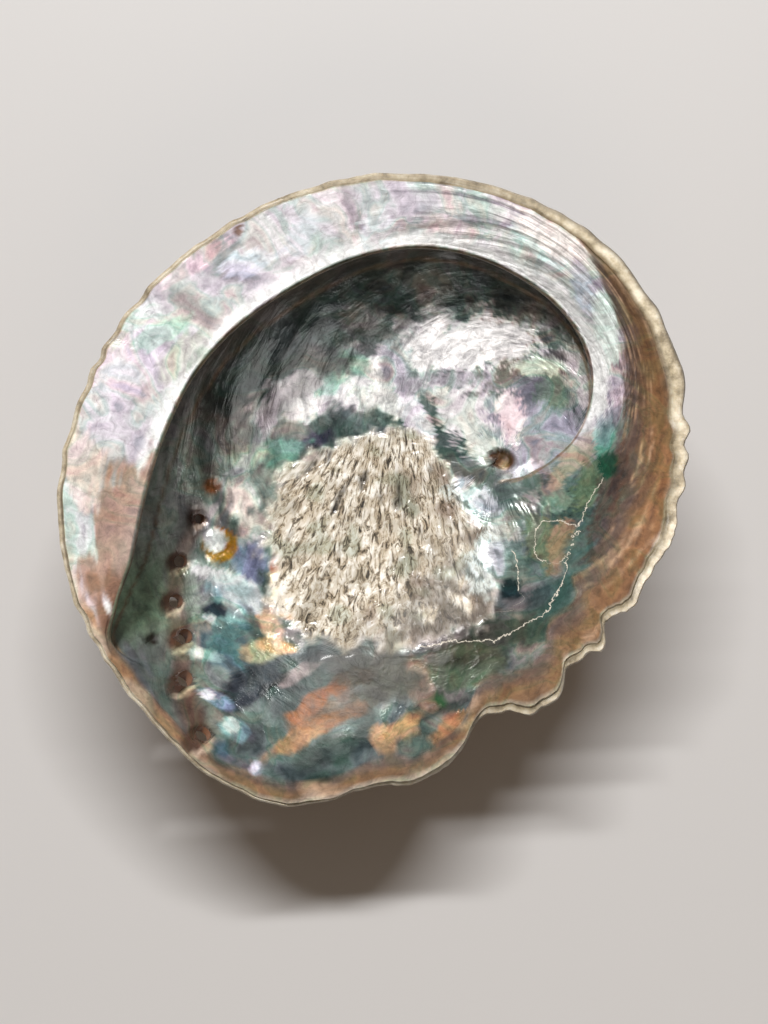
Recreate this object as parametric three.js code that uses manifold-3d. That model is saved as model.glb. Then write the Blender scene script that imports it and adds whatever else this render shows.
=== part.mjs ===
// An abalone shell lying on its back, bowl upwards, as one closed solid. Units are millimetres and +Z is
// up. The origin is where the shell stands, under the middle of its outline.
//
// The shell grew outwards from a coiling axis that stands over its small spire. Every half-plane through
// that axis cuts it in one closed section: floor, underside and inner edge of the ledge, top of the
// ledge, lip, and back. The solid is those sections, one after another round the axis.
import * as THREE from "three";
import { mergeVertices } from "three/addons/utils/BufferGeometryUtils.js";
import Module from "manifold-3d";

// Outline of the unbroken lip: its distance from the middle of the bowl, by direction in degrees.
const RIM_REACH = [
  [0, 79.2], [15, 82.8], [30, 86.0], [45, 86.6], [60, 84.7], [75, 82.0], [90, 79.8],
  [105, 77.3], [120, 75.9], [135, 75.4], [150, 75.6], [165, 76.4], [180, 77.9], [195, 78.8], [210, 78.6],
  [225, 79.4], [240, 82.0], [252, 82.9], [262, 79.6], [275, 75.6], [290, 72.3], [305, 70.6],
  [325, 71.0], [345, 74.6],
];
// Where pieces of the lip broke away: direction, half the width in degrees, and depth.
const BREAKS = [[269.5, 6, 1.8], [297.5, 7.5, 6.6], [320, 4.5, 3.2], [332.5, 3.5, 2.6]];
// Height of the lip over the surface that the shell stands on.
const RIM_HEIGHT = [
  [0, 40], [45, 41.5], [90, 42.5], [135, 41.5], [180, 39], [225, 36], [255, 34], [285, 35.5], [315, 38],
];
// How square the bowl's wall stands: an exponent of 2 is a plain round bowl, and more is flatter with a
// steeper wall.
const WALL_POWER = [[0, 2.0], [60, 2.2], [110, 2.6], [160, 2.8], [215, 2.8], [250, 2.4], [290, 2.1]];
// How far up a full half-round the wall goes: near 1 it ends upright, and less leaves the lip flaring.
const WALL_FULLNESS = [
  [0, 0.74], [60, 0.88], [110, 0.965], [160, 0.975], [215, 0.975], [250, 0.93], [290, 0.8],
];

// The coiling axis, from the middle of the bowl.
const AXIS = { x: 36.5, y: 10.2 };
// The ledge winds out of the spire and round to the front of the shell. By direction round the coiling
// axis: the radius of its inner edge, that edge's height, and how far the chamber reaches under it.
const EDGE_RADIUS = [
  [0, 13.6], [15, 19.2], [35, 27.1], [60, 36.1], [87, 45.5], [114, 57.4], [141, 68.5], [165, 82.0],
  [180, 89.4], [195, 99.2], [201, 107], [206, 112.6], [211, 110.5], [234, 56], [258, 8], [285, 5.8],
  [337, 8.8],
];
const EDGE_HEIGHT = [
  [0, 18], [15, 21], [35, 25.5], [60, 30.5], [87, 34.5], [114, 37], [141, 38.5], [180, 38.2], [205, 37],
  [262, 13], [285, 13.2], [337, 15],
];
const CHAMBER_REACH = [
  [0, 4], [20, 6.5], [40, 9], [60, 11.5], [90, 13.5], [120, 15.5], [150, 16], [180, 14], [195, 8], [201, 2.5],
  [206, -1], [214, -4], [255, -3], [270, -0.5], [285, 0.8], [337, 2],
];
// Where the ledge is: 1 on it, and 0 in the open front, where the floor runs straight up to the lip.
const LEDGE_SHARE = [[0, 1], [203, 1], [212, 0], [262, 0], [290, 1]];
// Where the ledge is a flat shelf and not a part of the bowl's sloping wall.
const SHELF_SHARE = [[0, 0], [15, 0.1], [62, 1], [203, 1], [212, 0], [300, 0]];
// Where the lip's top is level, because the wall under it is steep.
const LEVEL_SHARE = [[0, 0], [20, 0], [60, 1], [238, 1], [262, 0], [300, 0]];
const EDGE_ROUND = 1.3;
const LEDGE_CROWN = 0.7;

// The wall, and the thin outer layer that stands out past the nacre at the lip.
const WALL = 3.3;
const NEAR_LIP = 0.82;
const LIP = 1.1;
const LIP_STEP = 0.8;
const LIP_WIDTH = [
  [0, 3.6], [30, 4.2], [60, 4.0], [90, 2.8], [120, 2.2], [150, 1.6], [210, 1.5], [245, 1.2], [262, 2.4],
  [300, 2.6], [330, 3.2],
];
const MUSCLE_SCAR = { x: 6, y: -12, reach: 32, rise: 1.3 };

// The back: the spire's whorl stands out of it, with a sunken seam outside it, and cords cross growth
// folds.
const WHORL = [[0, 2.2], [15, 2.6], [60, 3], [90, 2.6], [125, 0], [262, 0], [285, 0.5], [337, 1.6]];
const SEAM_DEPTH = 0.9;
const SEAM_WIDTH = 2.6;
const SPIRE_CAP = { rise: 1.2, reach: 8 };
// How far the growing lip stood from the coiling axis, by direction, and how fast it grew with each turn
// in radians.
const GROWN_REACH = [
  [0, 45], [40, 50], [80, 61], [120, 80], [160, 102], [195, 115], [225, 112], [255, 86], [285, 60], [320, 47],
];
const GROWTH_RATE = 0.52;
const CORDS = 20;
const CORD_RISE = 0.55;
const FOLD_TURN = 0.3;
const FOLD_RISE = 0.75;
const RESTING_WEAR = 0.8;

// The breathing holes, oldest first: direction and radius round the coiling axis, and the bore's radius.
const HOLES = [
  [191.1, 85.5, 1.3], [197.6, 93.2, 1.7], [203.6, 98, 1.8],
  [209.3, 100, 1.9], [214.8, 105, 2], [222.4, 108.8, 2.1],
];
const HOLE_TUBE = { foot: 2.7, mouth: 1, root: 2.2, rise: 1.6, sides: 10 };
const SPIRE_PIT = { radius: 1.6, mouth: 3.8, depth: 2.4, lean: new THREE.Vector3(0.25, -0.15, 1), sides: 12 };

// How finely the solid is cut into flat faces.
const SECTIONS = 92;
const FLOOR_STEPS = 15;
const CHAMBER_STEPS = 4;
const EDGE_STEPS = 2;
const TOP_STEPS = 9;
const BACK_STEPS = 15;

const radians = THREE.MathUtils.degToRad;
const degrees = THREE.MathUtils.radToDeg;
const lerp = THREE.MathUtils.lerp;
const smoothstep = THREE.MathUtils.smoothstep;

// A smooth closed curve through [degrees, value] points, which keeps each rise and fall between its points.
function byDirection(points) {
  const count = points.length;
  const at = (i) => {
    const turn = Math.floor(i / count);
    const [angle, value] = points[i - turn * count];
    return [angle + 360 * turn, value];
  };
  const rate = (i) => (at(i + 1)[1] - at(i)[1]) / (at(i + 1)[0] - at(i)[0]);
  const slope = (i) => {
    const before = rate(i - 1);
    const after = rate(i);
    return before * after > 0 ? (2 * before * after) / (before + after) : 0;
  };
  return (angle) => {
    const a = ((angle % 360) + 360) % 360;
    let i = -1;
    while (at(i + 1)[0] <= a) i += 1;
    const span = at(i + 1)[0] - at(i)[0];
    const t = (a - at(i)[0]) / span;
    const rest = 1 - t;
    return (
      at(i)[1] * rest * rest * (1 + 2 * t) +
      slope(i) * span * t * rest * rest +
      at(i + 1)[1] * t * t * (3 - 2 * t) -
      slope(i + 1) * span * t * t * rest
    );
  };
}

const rimReach = byDirection(RIM_REACH);
const grownReach = byDirection(GROWN_REACH);
const rimHeight = byDirection(RIM_HEIGHT);
const wallPower = byDirection(WALL_POWER);
const wallFullness = byDirection(WALL_FULLNESS);
const edgeRadius = byDirection(EDGE_RADIUS);
const edgeHeight = byDirection(EDGE_HEIGHT);
const chamberReach = byDirection(CHAMBER_REACH);
const ledgeShare = byDirection(LEDGE_SHARE);
const shelfShare = byDirection(SHELF_SHARE);
const levelShare = byDirection(LEVEL_SHARE);
const lipWidth = byDirection(LIP_WIDTH);
const whorl = byDirection(WHORL);

// The plan place of a point given by direction and radius round the coiling axis.
function planPlace(direction, radius) {
  return {
    x: AXIS.x + radius * Math.cos(radians(direction)),
    y: AXIS.y + radius * Math.sin(radians(direction)),
  };
}

// How far out a plan place is, from 0 in the middle of the bowl to 1 at the lip.
function outwardShare(x, y) {
  return Math.hypot(x, y) / rimReach(degrees(Math.atan2(y, x)));
}

// Height of the smooth back of the shell over a plan place.
function backHeight(x, y) {
  const direction = degrees(Math.atan2(y, x));
  const power = wallPower(direction);
  const full = wallFullness(direction);
  const rise = (s) => 1 - (1 - Math.min(full * s, 0.999) ** power) ** (1 / power);
  return (rimHeight(direction) * rise(outwardShare(x, y))) / rise(1);
}

// How much of its full reach the lip still has where a piece broke away.
function lipShare(x, y) {
  const direction = degrees(Math.atan2(y, x));
  const lost = BREAKS.map(([at, halfWidth, depth]) => {
    const away = Math.abs(((direction - at + 540) % 360) - 180) / halfWidth;
    return depth * Math.exp(-(away ** 2));
  });
  return 1 - lost.reduce((sum, depth) => sum + depth, 0) / rimReach(direction);
}

// The lip's radius round the coiling axis.
function lipRadius(direction) {
  let near = 0;
  let far = 160;
  for (let i = 0; i < 30; i += 1) {
    const middle = (near + far) / 2;
    const { x, y } = planPlace(direction, middle);
    if (outwardShare(x, y) < lipShare(x, y)) near = middle;
    else far = middle;
  }
  return near;
}

// The share of the lip's length that lies before each half degree of direction.
const LIP_STRIDE = 0.5;
const lipLengths = [0];
for (let at = 0; at < 360; at += LIP_STRIDE) {
  const here = planPlace(at, lipRadius(at));
  const next = planPlace(at + LIP_STRIDE, lipRadius(at + LIP_STRIDE));
  lipLengths.push(lipLengths.at(-1) + Math.hypot(next.x - here.x, next.y - here.y));
}
const lipShares = lipLengths.map((length) => length / lipLengths.at(-1));

// How far along the lip a direction is, as a share of the whole way round.
function alongLip(direction) {
  const turns = Math.floor(direction / 360);
  const place = (direction - 360 * turns) / LIP_STRIDE;
  const i = Math.floor(place);
  return turns + lerp(lipShares[i], lipShares[i + 1] ?? 1, place - i);
}

// A point of the smooth back, and the direction from there into the bowl.
function backPoint(direction, radius) {
  const { x, y } = planPlace(direction, radius);
  const step = 0.05;
  const slopeX = (backHeight(x + step, y) - backHeight(x - step, y)) / (2 * step);
  const slopeY = (backHeight(x, y + step) - backHeight(x, y - step)) / (2 * step);
  return {
    point: new THREE.Vector3(x, y, backHeight(x, y)),
    inward: new THREE.Vector3(-slopeX, -slopeY, 1).normalize(),
  };
}

// The turn at which the growing lip passed over a place: 0 now, and less before.
function growthTurn(direction, radius) {
  let before = -14;
  let after = 0.2;
  for (let i = 0; i < 26; i += 1) {
    const middle = (before + after) / 2;
    const reached = Math.exp(GROWTH_RATE * middle) * grownReach(direction - degrees(middle));
    if (reached < radius) before = middle;
    else after = middle;
  }
  return before;
}

// How far the whorl of the spire stands out of the back, and the seam outside it is sunk in.
function whorlRelief(direction, radius) {
  const height = whorl(direction);
  const seam = edgeRadius(direction) + Math.max(chamberReach(direction), 0) + WALL;
  const share = radius / seam;
  const bulge = height * smoothstep(share, 0, 0.45) * (1 - smoothstep(share, 0.86, 1));
  const groove = Math.min(height, SEAM_DEPTH) * Math.exp(-(((radius - seam - 0.5) / SEAM_WIDTH) ** 2));
  return bulge - groove;
}

// How far the back's cords and growth folds stand out. The cords meet the lip at even distances.
function ornament(direction, radius, lip) {
  if (radius < 1) return 0;
  const turn = growthTurn(direction, radius);
  const size = smoothstep(radius / lip, 0.1, 0.7);
  const cords = Math.cos(2 * Math.PI * CORDS * alongLip(direction - degrees(turn)));
  const folds = Math.cos((2 * Math.PI * turn) / FOLD_TURN + 1.3 * Math.sin(radians(3 * direction)));
  return size * (CORD_RISE * cords + FOLD_RISE * folds);
}

// Thickness of the wall over a place of the back, with the pad of nacre that the muscle held.
function wallThickness(point, share) {
  const scar = Math.hypot(point.x - MUSCLE_SCAR.x, point.y - MUSCLE_SCAR.y) / MUSCLE_SCAR.reach;
  const pad = MUSCLE_SCAR.rise * (1 - smoothstep(scar, 0.55, 1.2));
  return lerp(WALL, NEAR_LIP * WALL, smoothstep(share, 0.75, 1)) + pad;
}

// The plain inside of the wall.
function wallPoint(direction, radius, lip) {
  const { point, inward } = backPoint(direction, radius);
  return point.addScaledVector(inward, wallThickness(point, radius / lip));
}

// The floor of the bowl and of the chamber, which dips into the whorl of the spire.
function floorPoint(direction, radius, lip) {
  const { inward } = backPoint(direction, radius);
  const dip = Math.max(whorlRelief(direction, radius), 0);
  return wallPoint(direction, radius, lip).addScaledVector(inward, -dip);
}

// A point of one half-plane through the coiling axis.
function inSection(direction, radius, height) {
  const { x, y } = planPlace(direction, radius);
  return new THREE.Vector3(x, y, height);
}

// The points of one section, from the middle of the floor round to the middle of the back.
function sectionPoints(direction) {
  const lip = lipRadius(direction);
  const edge = edgeRadius(direction);
  const deepest = edge + chamberReach(direction);
  const onLedge = ledgeShare(direction);
  const points = [];

  for (let i = 1; i < FLOOR_STEPS; i += 1) {
    points.push(floorPoint(direction, deepest * (i / FLOOR_STEPS) ** 0.85, lip));
  }

  // Under the ledge the wall turns back to the inner edge. In the open front the same points lie along
  // the floor.
  const height = edgeHeight(direction);
  const wall = floorPoint(direction, deepest, lip);
  const upWall = wall.clone().sub(floorPoint(direction, deepest - 1, lip)).normalize();
  const under = inSection(direction, edge + EDGE_ROUND, height - 2 * EDGE_ROUND);
  const outwards = inSection(direction, edge + 2, 0).sub(inSection(direction, edge + 1, 0));
  const bend = wall.distanceTo(under) * 0.4;
  const chamber = new THREE.CubicBezierCurve3(
    wall,
    wall.clone().addScaledVector(upWall, bend),
    under.clone().addScaledVector(outwards, bend),
    under,
  );
  for (let i = 0; i < CHAMBER_STEPS; i += 1) {
    const t = i / CHAMBER_STEPS;
    points.push(floorPoint(direction, lerp(deepest, edge, t), lip).lerp(chamber.getPoint(t), onLedge));
  }
  for (let i = 0; i < EDGE_STEPS; i += 1) {
    const turn = -Math.PI / 2 - (Math.PI * i) / EDGE_STEPS;
    const round = inSection(
      direction,
      edge + EDGE_ROUND + EDGE_ROUND * Math.cos(turn),
      height - EDGE_ROUND + EDGE_ROUND * Math.sin(turn),
    );
    points.push(floorPoint(direction, edge + (EDGE_ROUND * i) / EDGE_STEPS, lip).lerp(round, onLedge));
  }

  // The ledge's top runs from the inner edge to the border of the nacre, just inside the lip.
  const width = lipWidth(direction);
  const rim = backPoint(direction, lip);
  const borderBack = backPoint(direction, lip - width);
  const slopingBorder = borderBack.point.z + (NEAR_LIP * WALL) / borderBack.inward.z;
  const borderHeight = lerp(slopingBorder, rim.point.z + LIP * 0.5 + LIP_STEP, levelShare(direction));
  const border = inSection(direction, lip - width, borderHeight);
  const start = edge + EDGE_ROUND;
  const lift = height - wallPoint(direction, start, lip).z;
  const top = (t) => {
    const plain = wallPoint(direction, lerp(start, lip - width * 0.5, t), lip);
    plain.z += lift * onLedge * (1 - t) ** 1.6;
    const crown = LEDGE_CROWN * Math.sin(Math.PI * t);
    const shelf = inSection(direction, lerp(start, lip - width, t), lerp(height, borderHeight, t) + crown);
    return plain.lerp(shelf, shelfShare(direction));
  };
  const miss = border.clone().sub(top(1));
  for (let i = 0; i <= TOP_STEPS; i += 1) {
    const t = i / TOP_STEPS;
    points.push(top(t).addScaledVector(miss, t ** 3));
  }

  // The thin outer layer at the lip, a step below the nacre.
  points.push(border.clone().lerp(rim.point, 0.2).add(new THREE.Vector3(0, 0, -LIP_STEP * 0.5)));
  const lipTop = rim.point.clone().addScaledVector(rim.inward, LIP * 0.6);
  lipTop.z += LIP * 0.5;
  points.push(lipTop);

  for (let i = 0; i < BACK_STEPS; i += 1) {
    const radius = lip * (1 - i / BACK_STEPS) ** 0.85;
    const { point, inward } = backPoint(direction, radius);
    const cap = SPIRE_CAP.rise * Math.exp(-((radius / SPIRE_CAP.reach) ** 2));
    const relief = whorlRelief(direction, radius) + ornament(direction, radius, lip) + cap;
    points.push(point.addScaledVector(inward, -relief * smoothstep(i, -1, 3)));
  }
  return points;
}

// Directions round the coiling axis that space the sections evenly along the lip.
function sectionDirections() {
  const directions = [];
  for (let k = 0, i = 0; k < SECTIONS; k += 1) {
    while (lipShares[i + 1] < k / SECTIONS) i += 1;
    const between = (k / SECTIONS - lipShares[i]) / (lipShares[i + 1] - lipShares[i]);
    directions.push((i + between) * LIP_STRIDE);
  }
  return directions;
}

// The closed surface through all sections, with one point at each pole of the axis.
function shellSurface() {
  const sections = sectionDirections().map(sectionPoints);
  const ring = sections[0].length;
  const floorPole = floorPoint(0, 0, lipRadius(0));
  const backPole = backPoint(0, 0).point;
  backPole.z -= SPIRE_CAP.rise;
  const corners = [...sections.flat(), floorPole, backPole].flatMap((p) => [p.x, p.y, p.z]);
  const faces = [];
  sections.forEach((_, k) => {
    const here = k * ring;
    const next = ((k + 1) % SECTIONS) * ring;
    for (let i = 0; i < ring - 1; i += 1) {
      faces.push(here + i, here + i + 1, next + i + 1, here + i, next + i + 1, next + i);
    }
    faces.push(SECTIONS * ring, here, next);
    faces.push(SECTIONS * ring + 1, next + ring - 1, here + ring - 1);
  });
  return { corners, faces };
}

const wasm = await Module();
wasm.setup();

function solidFrom(corners, faces) {
  const vertProperties = new Float32Array(corners);
  const triVerts = new Uint32Array(faces);
  return new wasm.Manifold(new wasm.Mesh({ numProp: 3, vertProperties, triVerts }));
}

// A round peg that starts at `from` and points along `towards`, with its radius at either end.
function peg(from, towards, length, footRadius, tipRadius, sides) {
  const geometry = new THREE.CylinderGeometry(tipRadius, footRadius, length, sides);
  geometry.translate(0, length / 2, 0);
  geometry.applyQuaternion(new THREE.Quaternion().setFromUnitVectors(new THREE.Vector3(0, 1, 0), towards));
  geometry.translate(from.x, from.y, from.z);
  geometry.deleteAttribute("normal");
  geometry.deleteAttribute("uv");
  const merged = mergeVertices(geometry);
  return solidFrom(merged.getAttribute("position").array, merged.getIndex().array);
}

// Each breathing hole has a low tube on the back, and a bore through it and the wall.
function withHoles(solid) {
  const { foot, mouth, root, rise, sides } = HOLE_TUBE;
  return HOLES.reduce((shell, [direction, radius, bore]) => {
    const { point, inward } = backPoint(direction, radius);
    const outward = inward.clone().negate();
    const tubeStart = point.clone().addScaledVector(inward, root);
    const boreStart = point.clone().addScaledVector(inward, 2.5 * WALL);
    const tube = peg(tubeStart, outward, root + rise, bore + foot, bore + mouth, sides);
    return shell.add(tube).subtract(peg(boreStart, outward, 5 * WALL, bore * 1.25, bore * 0.9, sides));
  }, solid);
}

// The small blind pit in the middle of the spire, which opens upwards and leans a little.
function withPit(solid) {
  const { radius, mouth, depth, lean, sides } = SPIRE_PIT;
  const start = floorPoint(0, 0, lipRadius(0));
  start.z -= depth;
  return solid.subtract(peg(start, lean.clone().normalize(), 4 * depth, radius, mouth, sides));
}

const { corners, faces } = shellSurface();
const shellMesh = withPit(withHoles(solidFrom(corners, faces))).getMesh();

// The shell is moved so that it stands on z = 0, worn flat a little where it stands.
function standing(mesh) {
  const geometry = new THREE.BufferGeometry();
  geometry.setAttribute("position", new THREE.BufferAttribute(mesh.vertProperties, 3));
  geometry.setIndex(new THREE.BufferAttribute(mesh.triVerts, 1));
  const place = geometry.getAttribute("position");
  geometry.computeBoundingBox();
  const lowest = geometry.boundingBox.min.z + RESTING_WEAR;
  for (let i = 0; i < place.count; i += 1) place.setZ(i, Math.max(place.getZ(i), lowest));
  geometry.computeBoundingBox();
  const { min, max } = geometry.boundingBox;
  geometry.translate(-(min.x + max.x) / 2, -(min.y + max.y) / 2, -min.z);
  return geometry;
}

const nacre = new THREE.MeshStandardMaterial({ color: 0xb9b4ae, roughness: 0.3, metalness: 0.15 });
const shell = new THREE.Mesh(standing(shellMesh), nacre);
shell.name = "shell";
const abalone = new THREE.Group();
abalone.add(shell);
export default abalone;
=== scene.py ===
"""An abalone shell lying on its back on a pale table, seen from straight above."""
import math

import bpy
import numpy as np
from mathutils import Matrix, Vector, noise


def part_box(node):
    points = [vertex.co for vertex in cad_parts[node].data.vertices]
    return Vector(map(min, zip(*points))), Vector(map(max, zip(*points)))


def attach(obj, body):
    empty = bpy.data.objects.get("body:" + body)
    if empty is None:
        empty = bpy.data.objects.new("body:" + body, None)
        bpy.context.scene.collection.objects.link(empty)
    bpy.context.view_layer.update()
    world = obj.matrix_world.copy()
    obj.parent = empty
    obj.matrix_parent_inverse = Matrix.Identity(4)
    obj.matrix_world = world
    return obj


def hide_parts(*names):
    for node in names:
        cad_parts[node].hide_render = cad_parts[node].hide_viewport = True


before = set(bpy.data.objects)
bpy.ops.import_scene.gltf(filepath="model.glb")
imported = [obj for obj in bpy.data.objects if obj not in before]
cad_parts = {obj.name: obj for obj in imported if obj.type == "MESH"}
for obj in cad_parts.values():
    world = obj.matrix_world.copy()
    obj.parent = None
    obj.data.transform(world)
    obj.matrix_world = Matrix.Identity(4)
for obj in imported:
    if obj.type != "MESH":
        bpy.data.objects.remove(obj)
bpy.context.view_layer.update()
cad_low, cad_high = (np.array(corner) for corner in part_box("shell"))


# The form of the shell.
# An abalone grows by adding to its lip, always further round a coiling axis that stands over the small spire.
# Every half-plane through that axis cuts the shell in one closed section. All lengths here are millimetres, and
# directions are degrees round the coiling axis or, where a value says so, round the middle of the bowl.
MM = 0.001

# Round the middle of the bowl: the unbroken lip's reach and height, and how steep and full the wall is.
RIM_REACH = [
    (0, 79.2), (15, 82.8), (30, 86.0), (45, 86.6), (60, 84.7), (75, 82.0), (90, 79.8),
    (105, 77.3), (120, 75.9), (135, 75.4), (150, 75.6), (165, 76.4), (180, 77.9), (195, 78.8), (210, 78.6),
    (225, 79.4), (240, 82.0), (252, 82.9), (262, 79.6), (275, 75.6), (290, 72.3), (305, 70.6), (325, 71.0),
    (345, 74.6),
]
RIM_HEIGHT = [(0, 40), (45, 41.5), (90, 42.5), (135, 41.5), (180, 39), (225, 36), (255, 34), (285, 35.5), (315, 38)]
WALL_POWER = [(0, 2.0), (60, 2.2), (110, 2.6), (160, 2.8), (215, 2.8), (250, 2.4), (290, 2.1)]
WALL_FULLNESS = [(0, 0.74), (60, 0.88), (110, 0.965), (160, 0.975), (215, 0.975), (250, 0.93), (290, 0.8)]
# Where pieces of the lip broke away: direction, half the width in degrees, and depth.
BREAKS = [(269.5, 6, 1.8), (297.5, 7.5, 6.6), (320, 4.5, 3.2), (332.5, 3.5, 2.6)]

# Round the coiling axis, which stands here from the middle of the bowl: the ledge that winds out of the spire.
AXIS = (36.5, 10.2)
EDGE_RADIUS = [
    (0, 13.6), (15, 19.2), (35, 27.1), (60, 36.1), (87, 45.5), (114, 57.4), (141, 68.5), (165, 82.0),
    (180, 89.4), (195, 99.2), (201, 107), (206, 112.6), (211, 110.5), (234, 56), (258, 8), (285, 5.8), (337, 8.8),
]
EDGE_HEIGHT = [
    (0, 18), (15, 21), (35, 25.5), (60, 30.5), (87, 34.5), (114, 37), (141, 38.5), (180, 38.2), (205, 37),
    (262, 13), (285, 13.2), (337, 15),
]
CHAMBER_REACH = [
    (0, 4), (20, 6.5), (40, 9), (60, 11.5), (90, 13.5), (120, 15.5), (150, 16), (180, 14), (195, 8), (201, 2.5),
    (206, -1), (214, -4), (255, -3), (270, -0.5), (285, 0.8), (337, 2),
]
LEDGE_SHARE = [(0, 1), (203, 1), (212, 0), (262, 0), (290, 1)]
SHELF_SHARE = [(0, 0), (15, 0.1), (62, 1), (203, 1), (212, 0), (300, 0)]
LEVEL_SHARE = [(0, 0), (20, 0), (60, 1), (238, 1), (262, 0), (300, 0)]
EDGE_ROUND = 1.3
LEDGE_CROWN = 0.7

WALL = 3.3
NEAR_LIP = 0.82
LIP = 1.1
LIP_STEP = 0.8
LIP_WIDTH = [
    (0, 3.6), (30, 4.2), (60, 4.0), (90, 2.8), (120, 2.2), (150, 1.6), (210, 1.5), (245, 1.2), (262, 2.4),
    (300, 2.6), (330, 3.2),
]
MUSCLE_SCAR = (6, -12)
SCAR_REACH = 32
SCAR_RISE = 1.3

WHORL = [(0, 2.2), (15, 2.6), (60, 3), (90, 2.6), (125, 0), (262, 0), (285, 0.5), (337, 1.6)]
SEAM_DEPTH = 0.9
SEAM_WIDTH = 2.6
CAP_RISE = 1.2
CAP_REACH = 8
GROWN_REACH = [
    (0, 45), (40, 50), (80, 61), (120, 80), (160, 102), (195, 115), (225, 112), (255, 86), (285, 60), (320, 47),
]
GROWTH_RATE = 0.52
CORDS = 20
CORD_RISE = 0.55
FOLD_TURN = 0.3
FOLD_RISE = 0.75
RESTING_WEAR = 0.8

# How finely each section is cut: this many sections, and this many steps along each stretch of one.
SECTIONS = 440
FLOOR_STEPS = 84
CHAMBER_STEPS = 12
EDGE_STEPS = 6
TOP_STEPS = 54
LIP_STEPS = 4
BACK_STEPS = 56


def by_direction(points):
    """A smooth closed curve through (degrees, value) points, which keeps each rise and fall between them."""
    angles, values = np.array(points, float).T
    spans = np.diff(np.append(angles, angles[0] + 360))
    rates = np.diff(np.append(values, values[0])) / spans
    before = np.roll(rates, 1)
    steady = before * rates > 0
    slopes = np.where(steady, 2 * before * rates / np.where(steady, before + rates, 1), 0)

    def curve(angle):
        a = np.mod(angle, 360)
        i = np.searchsorted(angles, a, side="right") - 1
        j = (i + 1) % len(angles)
        t = (a - angles[i]) / spans[i]
        rest = 1 - t
        from_start = rest**2 * (values[i] * (1 + 2 * t) + slopes[i] * spans[i] * t)
        return from_start + t**2 * (values[j] * (3 - 2 * t) - slopes[j] * spans[i] * rest)

    return curve


def ease(value, low, high):
    """0 below low, 1 above high, and a smooth rise between."""
    t = np.clip((value - low) / (high - low), 0, 1)
    return t * t * (3 - 2 * t)


rim_reach = by_direction(RIM_REACH)
rim_height = by_direction(RIM_HEIGHT)
wall_power = by_direction(WALL_POWER)
wall_fullness = by_direction(WALL_FULLNESS)
edge_radius = by_direction(EDGE_RADIUS)
edge_height = by_direction(EDGE_HEIGHT)
chamber_reach = by_direction(CHAMBER_REACH)
ledge_share = by_direction(LEDGE_SHARE)
shelf_share = by_direction(SHELF_SHARE)
level_share = by_direction(LEVEL_SHARE)
lip_width = by_direction(LIP_WIDTH)
whorl = by_direction(WHORL)
grown_reach = by_direction(GROWN_REACH)


def plan_place(direction, radius):
    """The plan place of a point given by direction and radius round the coiling axis."""
    turn = np.radians(direction)
    return AXIS[0] + radius * np.cos(turn), AXIS[1] + radius * np.sin(turn)


def bowl_direction(x, y):
    return np.degrees(np.arctan2(y, x))


def outward_share(x, y):
    """How far out a plan place is, from 0 in the middle of the bowl to 1 at the unbroken lip."""
    return np.hypot(x, y) / rim_reach(bowl_direction(x, y))


def back_height(x, y):
    """Height of the smooth back of the shell over a plan place."""
    direction = bowl_direction(x, y)
    power = wall_power(direction)
    full = wall_fullness(direction)

    def rise(share):
        return 1 - (1 - np.minimum(full * share, 0.999) ** power) ** (1 / power)

    return rim_height(direction) * rise(outward_share(x, y)) / rise(1)


def lip_share(x, y):
    """How much of its full reach the lip still has where a piece broke away."""
    direction = bowl_direction(x, y)
    lost = 0
    for at, half_width, depth in BREAKS:
        away = np.abs(np.mod(direction - at + 540, 360) - 180) / half_width
        lost = lost + depth * np.exp(-(away**2))
    return 1 - lost / rim_reach(direction)


def lip_radius(direction):
    """The lip's radius round the coiling axis."""
    near = np.zeros_like(direction)
    far = near + 160
    for _ in range(30):
        middle = (near + far) / 2
        x, y = plan_place(direction, middle)
        within = outward_share(x, y) < lip_share(x, y)
        near = np.where(within, middle, near)
        far = np.where(within, far, middle)
    return near


def back_points(direction, radius):
    """Points of the smooth back, and the direction from each into the bowl."""
    x, y = plan_place(direction, radius)
    step = 0.05
    slope_x = (back_height(x + step, y) - back_height(x - step, y)) / (2 * step)
    slope_y = (back_height(x, y + step) - back_height(x, y - step)) / (2 * step)
    inward = np.stack([-slope_x, -slope_y, np.ones_like(slope_x)], -1)
    inward /= np.linalg.norm(inward, axis=-1, keepdims=True)
    return np.stack([x, y, back_height(x, y)], -1), inward


def growth_turn(direction, radius):
    """The turn at which the growing lip passed over a place: 0 now, and less before."""
    before = np.zeros_like(radius + direction) - 14
    after = before + 14.2
    for _ in range(28):
        middle = (before + after) / 2
        short = np.exp(GROWTH_RATE * middle) * grown_reach(direction - np.degrees(middle)) < radius
        before = np.where(short, middle, before)
        after = np.where(short, after, middle)
    return before


def whorl_relief(direction, radius):
    """How far the whorl of the spire stands out of the back, and the seam outside it is sunk in."""
    height = whorl(direction)
    seam = edge_radius(direction) + np.maximum(chamber_reach(direction), 0) + WALL
    share = radius / seam
    bulge = height * ease(share, 0, 0.45) * (1 - ease(share, 0.86, 1))
    return bulge - np.minimum(height, SEAM_DEPTH) * np.exp(-(((radius - seam - 0.5) / SEAM_WIDTH) ** 2))


def wall_points(direction, radius, lip):
    """The plain inside of the wall, with the pad of nacre that the muscle held."""
    point, inward = back_points(direction, radius)
    scar = np.hypot(point[..., 0] - MUSCLE_SCAR[0], point[..., 1] - MUSCLE_SCAR[1]) / SCAR_REACH
    depth = blend(WALL, NEAR_LIP * WALL, ease(radius / lip, 0.75, 1)) + SCAR_RISE * (1 - ease(scar, 0.55, 1.2))
    return point + inward * depth[..., None]


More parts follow.
